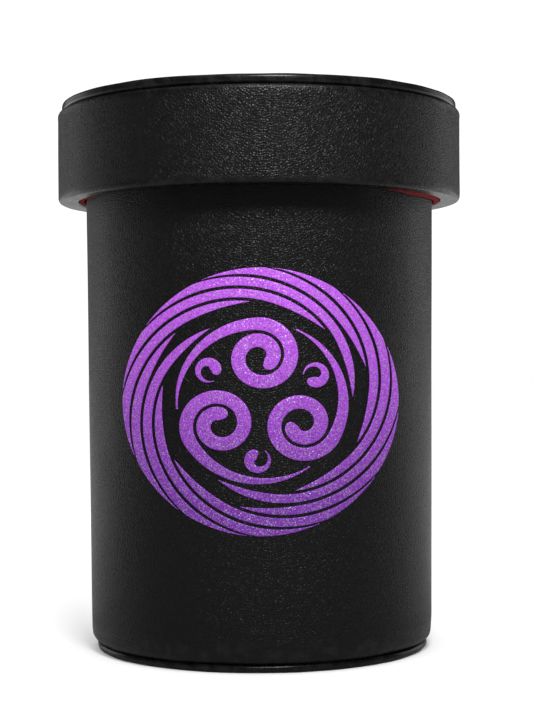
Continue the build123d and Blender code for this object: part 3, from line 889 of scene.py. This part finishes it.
def scroll_edges(samples=190):
    """A spiral round the scroll's eye, carried on as an arc round the roundel's centre."""
    s = np.linspace(0, 1, samples)
    angle = math.pi / 2 - FULL_TURN * SCROLL_TURNS * (1 - s)
    spiral = polar(SCROLL_EYE + (SCROLL_RADIUS - SCROLL_EYE) * s, angle, (0, SCROLL_CENTRE))
    s = np.linspace(0, 1, samples // 2)[1:]
    tail_radius = SCROLL_CENTRE + SCROLL_RADIUS + SCROLL_TAIL_DRIFT * s
    tail = polar(tail_radius, math.pi / 2 + SCROLL_TAIL * s)
    line = np.vstack([spiral, tail])
    run = distance_along(line)
    at_eye, beyond = SCROLL_WIDTH
    half_width = at_eye + (beyond - at_eye) * run / run[-1]
    return stroke_edges(line, half_width * rounded_taper(run, run[-1], at_eye, *SCROLL_TAPER))


def curl_edges(samples=90):
    """A comma: just under one turn of a spiral, from a round head to a fine tail."""
    s = np.linspace(0, 1, samples)
    radius = CURL_RADII[0] + (CURL_RADII[1] - CURL_RADII[0]) * s
    centre = polar(CURL_CENTRE[0], CURL_CENTRE[1])
    line = polar(radius, CURL_START + FULL_TURN * CURL_TURNS * s, centre)
    return stroke_edges(line, CURL_WIDTH * rounded_taper(s, 1, CURL_CAP, *CURL_TAPER))


def film_stroke(first, second):
    """A stroke of film laid on the cup: vertices, faces and edge weights.

    Across the stroke, q runs from -1 to 1 in FILM_ACROSS, and the film's height over its adhesive
    is thickness * (1 - |q|^6)^(1/6).
    A point (u, v) of the roundel lies at x = half width * u, z = centre + half height * v, and at
    the angle whose sine is x over the wall's radius there.
    """
    ornament = settings().ornament
    q = np.array(FILM_ACROSS)
    flat = first[:, None] * (1 - q[:, None]) / 2 + second[:, None] * (1 + q[:, None]) / 2
    x = ornament.half_width * flat[..., 0]
    z = ornament.centre_height + ornament.half_height * flat[..., 1]
    wall = wall_radius(z)
    angle = np.arcsin(x / wall)
    thickness = ornament.lift + ornament.film * (1 - np.abs(q) ** FILM_POWER) ** (1 / FILM_POWER)
    radius = wall + thickness
    top = np.stack([radius * np.sin(angle), -radius * np.cos(angle), z], axis=2)
    rows, columns = top.shape[:2]
    number = np.arange(rows * columns).reshape(rows, columns)
    quads = np.stack([number[:-1, :-1], number[1:, :-1], number[1:, 1:], number[:-1, 1:]], axis=2)
    under = np.stack([number[:-1, 0], number[:-1, -1], number[1:, -1], number[1:, 0]], axis=1)
    faces = quads.reshape(-1, 4).tolist() + under.tolist()
    faces += [number[0].tolist(), number[-1, ::-1].tolist()]
    return top.reshape(-1, 3), faces, np.tile(np.abs(q) ** (2 * FILM_POWER), rows)


# ---------------------------------------------------------------------------
# Operators
# ---------------------------------------------------------------------------
class DICECUP_OT_sleeve(bpy.types.Operator):
    """Make the leather sleeve with its rounded foot, turned rim and back seam"""

    bl_idname = "dice_cup.sleeve"
    bl_label = "Leather sleeve"

    def execute(self, context):
        cup, hand = settings().cup, settings().hand
        rng = draws(0)
        low, high = heights("cup_wall_leather")
        tube_low, tube_high = heights("cup_wall_core")
        tube_inset = cup.leather + cup.padding
        bore_inset = tube_inset + cup.tube
        round_top = low + cup.foot_round_height
        padding_foot = low + 2 * cup.leather + cup.foot_fold
        foot_edge = wall_radius(padding_foot, cup.foot_pull_in)
        turn_low = tube_high - cup.rim_turn_in
        corners = [
            (foot_edge - cup.foot_turn_in, low),
            (foot_edge, low, cup.foot_edge_round),
            on_wall(round_top, 0, cup.foot_shoulder_round),
            (cup.rim_radius, high, cup.rim_round),
            on_wall(high, bore_inset + cup.leather, cup.leather),
            on_wall(turn_low, bore_inset + cup.leather),
            on_wall(turn_low, bore_inset),
            on_wall(tube_high, bore_inset),
            on_wall(tube_high, cup.leather),
            on_wall(round_top, cup.leather),
            on_wall(padding_foot, tube_inset),
            on_wall(tube_low, tube_inset),
            (foot_edge - cup.foot_turn_in, tube_low),
        ]
        points, edge = outline(corners, 2.4 * MM)
        normal = outline_normals(points, True)
        angles = turned_angles(300, 0.05, 44)
        along = distance_along(points)
        outside = points[:, 0] > wall_radius(points[:, 1], 0.45 * cup.leather)
        foot = (points[:, 1] < round_top + 2 * MM) & (normal[:, 0] > 0.1)
        seamed = outside * smooth_step((points[:, 1] - low - 1.5 * MM) / (4 * MM))
        lift = outside[:, None] * waves(angles, along, hand.wave, rng)
        lift += (foot * edge)[:, None] * waves(angles, along, 0.6 * hand.edge_wave, rng, turns=30)
        lift += seamed[:, None] * seam(angles, along, cup.rim_radius, hand.seam_width, hand.seam_depth, rng)
        inside = points[:, 0] < wall_radius(points[:, 1], bore_inset + 0.9 * cup.leather)
        inside = inside & (points[:, 1] > turn_low + ON_FACE)
        gathered = inside * smooth_step((high - points[:, 1]) / (3 * MM))
        lift += gathered[:, None] * pleats(angles, 90, hand.pleat_depth, 0.013, rng)[None]
        turned_piece(
            "sleeve", "cup_wall_leather", "cup", "sleeve leather", points, edge, angles, lift
        )
        return {"FINISHED"}


class DICECUP_OT_foot(bpy.types.Operator):
    """Make the leather of the covered disc that the cup stands on"""

    bl_idname = "dice_cup.foot"
    bl_label = "Foot disc"

    def execute(self, context):
        low, high = heights("base_cover_leather")
        rng = draws(1)
        covered_disc("foot_cover", "base_cover_leather", "cup", low, high, reach("base_cover_leather"), rng)
        return {"FINISHED"}


class DICECUP_OT_lining(bpy.types.Operator):
    """Make the cup's velvet wall and floor"""

    bl_idname = "dice_cup.lining"
    bl_label = "Cup lining"

    def execute(self, context):
        cup = settings().cup
        rng = draws(2)
        floor_low, floor_high = heights("cup_floor_velvet")
        high = heights("cup_wall_velvet")[1]
        bore = cup.leather + cup.padding + cup.tube
        turned = bore + cup.leather
        turn_low = heights("cup_wall_core")[1] - cup.rim_turn_in
        step_low = turn_low - cup.lining_step
        corners = [
            on_wall(floor_low, bore + cup.velvet),
            on_wall(floor_low, bore),
            on_wall(turn_low, bore),
            on_wall(turn_low, turned),
            on_wall(high, turned),
            on_wall(high, turned + cup.velvet, 0.5 * cup.velvet),
            on_wall(turn_low, turned + cup.velvet, 2 * cup.velvet),
            on_wall(step_low, bore + cup.velvet, 2 * cup.velvet),
        ]
        velvet_piece("wall_lining", "cup_wall_velvet", "cup", corners, rng, 2.2 * MM)
        disc = wall_radius(floor_low, bore + cup.velvet)
        corners = [(0, floor_low), (disc, floor_low), (disc, floor_high, 0.3 * MM), (0, floor_high)]
        velvet_piece("floor_lining", "cup_floor_velvet", "cup", corners, rng, closed=False)
        return {"FINISHED"}


class DICECUP_OT_padding(bpy.types.Operator):
    """Make the foam under the leather, under the floor and over the ceiling"""

    bl_idname = "dice_cup.padding"
    bl_label = "Foam padding"

    def execute(self, context):
        cup, lid = settings().cup, settings().lid
        rng = draws(3)
        low, high = heights("cup_wall_padding")
        round_top = heights("cup_wall_leather")[0] + cup.foot_round_height
        inset = cup.leather + cup.padding
        corners = [
            on_wall(low, inset),
            on_wall(round_top, cup.leather),
            on_wall(high, cup.leather),
            on_wall(high, inset),
        ]
        pad("wall_pad", "cup_wall_padding", "cup", corners, 0.02 * MM, rng, 4 * MM)
        low, high = heights("cup_floor_pad")
        radius = reach("cup_floor_pad")
        corners = [(0, low), (radius, low), (radius, high, 0.4 * MM), (0, high)]
        pad("floor_pad", "cup_floor_pad", "cup", corners, 0.03 * MM, rng, closed=False)
        low, high = heights("lid_wall_padding")
        outer = reach("lid_wall_padding")
        corners = [
            (outer - lid.padding, low),
            (outer, low, lid.pad_bottom_round),
            (outer, high, lid.pad_top_round),
            (outer - lid.padding, high),
        ]
        pad("band_pad", "lid_wall_padding", "lid", corners, 0.02 * MM, rng)
        low, high = heights("lid_ceiling_pad")
        radius = reach("lid_ceiling_pad")
        corners = [(0, low), (radius, low, 0.4 * MM), (radius, high), (0, high)]
        pad("ceiling_pad", "lid_ceiling_pad", "lid", corners, 0.03 * MM, rng, closed=False)
        return {"FINISHED"}


class DICECUP_OT_ornament(bpy.types.Operator):
    """Lay the glitter film ornament on the front of the cup"""

    bl_idname = "dice_cup.ornament"
    bl_label = "Ornament"

    def execute(self, context):
        arm = [blade_edges(i) for i in range(BLADES_PER_ARM)] + [scroll_edges(), curl_edges()]
        vertices, faces, edges, count = [], [], [], 0
        for k in range(ARMS):
            turn = FULL_TURN * k / ARMS
            turned = np.array([[math.cos(turn), math.sin(turn)], [-math.sin(turn), math.cos(turn)]])
            for first, second in arm:
                points, polygons, weights = film_stroke(first @ turned, second @ turned)
                faces += [[i + count for i in polygon] for polygon in polygons]
                vertices.append(points)
                edges.append(weights)
                count += len(points)
        add_piece(
            "ornament", np.vstack(vertices), faces, finish_of("glitter film"), "cup",
            ["emblem_print"], np.concatenate(edges), math.radians(75),
        )
        return {"FINISHED"}


class DICECUP_OT_band(bpy.types.Operator):
    """Make the lid's leather band with its turned edges and back seam"""

    bl_idname = "dice_cup.band"
    bl_label = "Lid band"

    def execute(self, context):
        lid, hand = settings().lid, settings().hand
        rng = draws(4)
        low, high = heights("lid_wall_leather")
        ring_low, ring_high = heights("lid_wall_core")
        outer = reach("lid_wall_leather")
        under = outer - lid.leather
        bore = under - lid.padding - lid.ring
        inner = bore - lid.leather
        turn_top = ring_low + lid.band_turn_in
        corners = [
            (inner, low, lid.turned),
            (outer, low, lid.bottom_round),
            (outer, high, lid.top_round),
            (outer - lid.shoulder_turn_in, high),
            (outer - lid.shoulder_turn_in, ring_high),
            (under, ring_high, lid.pad_top_round),
            (under, ring_low, lid.pad_bottom_round),
            (bore, ring_low),
            (bore, turn_top),
            (inner, turn_top),
        ]
        points, edge = outline(corners, 1.2 * MM)
        angles = turned_angles(330, 0.045, 44)
        along = distance_along(points)
        outside = points[:, 0] > under + 0.4 * lid.leather
        lift = outside[:, None] * waves(angles, along, hand.wave, rng, turns=7)
        rolled = outside * edge
        lift += rolled[:, None] * waves(angles, along, 0.5 * hand.edge_wave, rng, turns=34, per_metre=200)
        seamed = outside * smooth_step((high + 0.5 * MM - points[:, 1]) / MM)
        lift += seamed[:, None] * seam(angles, along, outer, hand.seam_width, hand.seam_depth, rng)
        below = (points[:, 1] < low + ON_FACE) & (points[:, 0] < outer - lid.bottom_round)
        gathered = below * smooth_step((outer - 1.5 * MM - points[:, 0]) / (2 * MM))
        lift += gathered[:, None] * pleats(angles, 110, hand.pleat_depth, 0.010, rng)[None]
        edge = np.maximum(edge, below)
        turned_piece(
            "band", "lid_wall_leather", "lid", "band leather", points, edge, angles, lift
        )
        return {"FINISHED"}


class DICECUP_OT_cap(bpy.types.Operator):
    """Make the leather of the covered disc on top of the lid"""

    bl_idname = "dice_cup.cap"
    bl_label = "Cap disc"

    def execute(self, context):
        low, high = heights("lid_cap_leather")
        rng = draws(5)
        covered_disc("cap_cover", "lid_cap_leather", "lid", high, low, reach("lid_cap_leather"), rng)
        return {"FINISHED"}


class DICECUP_OT_lid_lining(bpy.types.Operator):
    """Make the velvet strip inside the lid's band and the velvet ceiling"""

    bl_idname = "dice_cup.lid_lining"
    bl_label = "Lid lining"

    def execute(self, context):
        lid = settings().lid
        rng = draws(6)
        low, high = heights("lid_wall_velvet")
        bore = reach("lid_wall_leather") - lid.leather - lid.padding - lid.ring
        inner = bore - lid.leather
        turn_top = heights("lid_wall_core")[0] + lid.band_turn_in
        upper = bore - lid.velvet
        corners = [
            (lid.lining_radius, low, lid.velvet / 3),
            (inner, low),
            (inner, turn_top),
            (bore, turn_top),
            (bore, high),
            (upper, high),
            (upper, turn_top + settings().cup.lining_step, lid.velvet),
            (lid.lining_radius, turn_top, lid.velvet),
        ]
        velvet_piece("band_lining", "lid_wall_velvet", "lid", corners, rng, 1.4 * MM, sag=self.low_cut)
        low, high = heights("lid_ceiling_velvet")
        corners = [(0, low), (upper, low, 0.3 * MM), (upper, high), (0, high)]
        velvet_piece("ceiling_lining", "lid_ceiling_velvet", "lid", corners, rng, closed=False)
        return {"FINISHED"}

    def low_cut(self, angles):
        """Two stretches, right and left of the front, eased in over their length and out at the side."""
        hand = settings().hand
        from_front = angle_from(angles, -BACK)
        right = smooth_step((from_front - math.radians(28)) / math.radians(30))
        right = right * (1 - smooth_step((from_front - math.radians(88)) / math.radians(20)))
        left = smooth_step((-from_front - math.radians(50)) / math.radians(20))
        left = left * (1 - smooth_step((-from_front - math.radians(92)) / math.radians(20)))
        return hand.sag * right + hand.sag_left * left


class DICECUP_OT_boards(bpy.types.Operator):
    """Give the boards inside the cup and the lid their grey board finish"""

    bl_idname = "dice_cup.boards"
    bl_label = "Boards"

    def execute(self, context):
        board = finish_of("grey board")
        slots = {entry["node"]: entry["material_slot"] for entry in frame["record"]["subparts"]}
        for node, obj in frame["nodes"].items():
            if slots[node] == "board":
                obj.data.materials.clear()
                obj.data.materials.append(board)
        return {"FINISHED"}


KEY_PLACE, KEY_AIM = (0.04, -0.25, 0.30), (0, 0, 0.11)
TOP_PLACE, TOP_AIM = (0, -0.05, 0.6), (0, 0, 0.1)
REAR_PLACE, REAR_AIM, REAR_SIDES = (0.5, 0.4, 0.15), (0, 0, 0.07), (0.35, 0.5)


class DICECUP_OT_stage(bpy.types.Operator):
    """Set the pale floor and room, the lights and the level camera"""

    bl_idname = "dice_cup.stage"
    bl_label = "Stage"

    def execute(self, context):
        stage = settings().stage
        scene = context.scene
        scene.view_settings.view_transform = "Standard"
        self.floor(scene, stage)
        self.room(scene, stage)
        self.lights(scene, stage)
        self.camera(scene, stage)
        return {"FINISHED"}

    def floor(self, scene, stage):
        """A level round floor: rings carried round the axis, each a steady step wider than the last."""
        rings = np.geomspace(0.05, 6.0, 24)[:, None]
        angles = turned_angles(96)
        grid = np.stack([rings * np.cos(angles), rings * np.sin(angles), 0 * rings * angles], axis=2)
        number = np.arange(grid.shape[0] * grid.shape[1]).reshape(grid.shape[:2])
        beside = np.roll(number, -1, axis=1)
        quads = np.stack([number[:-1], number[1:], beside[1:], beside[:-1]], axis=2).reshape(-1, 4)
        centre = np.full(len(angles), number.size)
        fan = np.stack([centre, number[0], beside[0]], axis=1)
        vertices = np.vstack([grid.reshape(-1, 3), [[0, 0, 0]]])
        mesh = bpy.data.meshes.new("floor")
        mesh.from_pydata(vertices.tolist(), [], quads.tolist() + fan.tolist())
        mesh.materials.append(self.floor_material(stage))
        floor = bpy.data.objects.new("floor", mesh)
        scene.collection.objects.link(floor)

    def floor_material(self, stage):
        """Pale and matt. Reflections and bounced light see it dimmer, most of all in front."""
        material, tree, shader, where = new_material("pale floor")
        pale = mix(tree, noise(tree, where, 30.0, 5.0), full(stage.floor), full(stage.floor, 0.985))
        seen = tree.nodes.new("ShaderNodeLightPath").outputs["Is Camera Ray"]
        depth = place(tree, "SeparateXYZ", {0: where}).outputs["Y"]
        behind = ease(tree, depth, -0.04, 0.22, stage.floor_front, stage.floor_behind)
        mirrored = mix(tree, behind, (0, 0, 0, 1), full(stage.floor))
        tree.links.new(mix(tree, seen, mirrored, pale), shader["Base Color"])
        shader["Roughness"].default_value = 0.9
        shader["Specular IOR Level"].default_value = 0.1
        return material

    def room(self, scene, stage):
        """Pale all round. Reflections see a dimmer room, so that black leather stays black."""
        world = bpy.data.worlds.new("pale room")
        world.use_nodes = True
        tree = world.node_tree
        tree.nodes.clear()
        path = tree.nodes.new("ShaderNodeLightPath")
        seen = maths(tree, "ADD", path.outputs["Is Camera Ray"], path.outputs["Is Diffuse Ray"], clamp=True)
        strength = maths(tree, "MULTIPLY_ADD", seen, stage.backdrop - stage.surround, stage.surround)
        back = place(tree, "Background", {"Color": (1, 1, 1, 1), "Strength": strength})
        output = tree.nodes.new("ShaderNodeOutputWorld")
        tree.links.new(back.outputs[0], output.inputs["Surface"])
        scene.world = world

    def panel(self, scene, name, at, aim, sides, energy):
        """A flat soft light at a place, turned to shine at the aim."""
        light = bpy.data.lights.new(name, "AREA")
        light.shape = "RECTANGLE"
        light.size, light.size_y = sides
        light.energy = energy
        lamp = bpy.data.objects.new(name, light)
        lamp.location = at
        east, north, up = np.subtract(aim, at)
        lamp.rotation_euler = (math.atan2(math.hypot(east, north), -up), 0, math.atan2(-east, north))
        scene.collection.objects.link(lamp)

    def lights(self, scene, stage):
        """A small soft box above the camera's line, a broad panel overhead, and one each side behind."""
        self.panel(scene, "soft box", KEY_PLACE, KEY_AIM, [stage.key_size] * 2, stage.key_power)
        self.panel(scene, "top panel", TOP_PLACE, TOP_AIM, [stage.top_size] * 2, stage.top_power)
        out, behind, up = REAR_PLACE
        for name, side in (("left panel", -1), ("right panel", 1)):
            self.panel(scene, name, (out * side, behind, up), REAR_AIM, REAR_SIDES, stage.rear_power)

    def camera(self, scene, stage):
        data = bpy.data.cameras.new("camera")
        data.lens = stage.lens
        data.sensor_width = 36
        data.shift_x = stage.shift
        data.clip_start = 0.01
        camera = bpy.data.objects.new("camera", data)
        camera.location = (0, -stage.camera_distance, stage.camera_height)
        camera.rotation_euler = (math.pi / 2, stage.roll, 0)
        scene.collection.objects.link(camera)
        scene.camera = camera


class DICECUP_PT_panel(bpy.types.Panel):
    """Lists the steps and the sizes and colours they use"""

    bl_idname = "DICECUP_PT_panel"
    bl_label = "Dice cup"
    bl_space_type = "VIEW_3D"
    bl_region_type = "UI"
    bl_category = "Dice cup"

    def draw(self, context):
        for operator in OPERATORS:
            self.layout.operator(operator.bl_idname)
        groups = context.scene.dice_cup
        for name in DiceCupSettings.__annotations__:
            box = self.layout.box()
            box.label(text=name.capitalize())
            group = getattr(groups, name)
            for key in type(group).__annotations__:
                box.prop(group, key)


OPERATORS = (
    DICECUP_OT_stage,
    DICECUP_OT_boards,
    DICECUP_OT_padding,
    DICECUP_OT_lining,
    DICECUP_OT_foot,
    DICECUP_OT_sleeve,
    DICECUP_OT_ornament,
    DICECUP_OT_lid_lining,
    DICECUP_OT_band,
    DICECUP_OT_cap,
)
GROUPS = (
    CupSettings,
    LidSettings,
    DiscSettings,
    HandSettings,
    OrnamentSettings,
    FinishSettings,
    StageSettings,
    DiceCupSettings,
)
CLASSES = (*GROUPS, *OPERATORS, DICECUP_PT_panel)


def register():
    for cls in CLASSES:
        bpy.utils.register_class(cls)
    bpy.types.Scene.dice_cup = PointerProperty(type=DiceCupSettings)


def unregister():
    del bpy.types.Scene.dice_cup
    for cls in reversed(CLASSES):
        bpy.utils.unregister_class(cls)


def main():
    register()
    for operator in OPERATORS:
        family, name = operator.bl_idname.split(".")
        getattr(getattr(bpy.ops, family), name)()


if __name__ == "__main__":
    main()
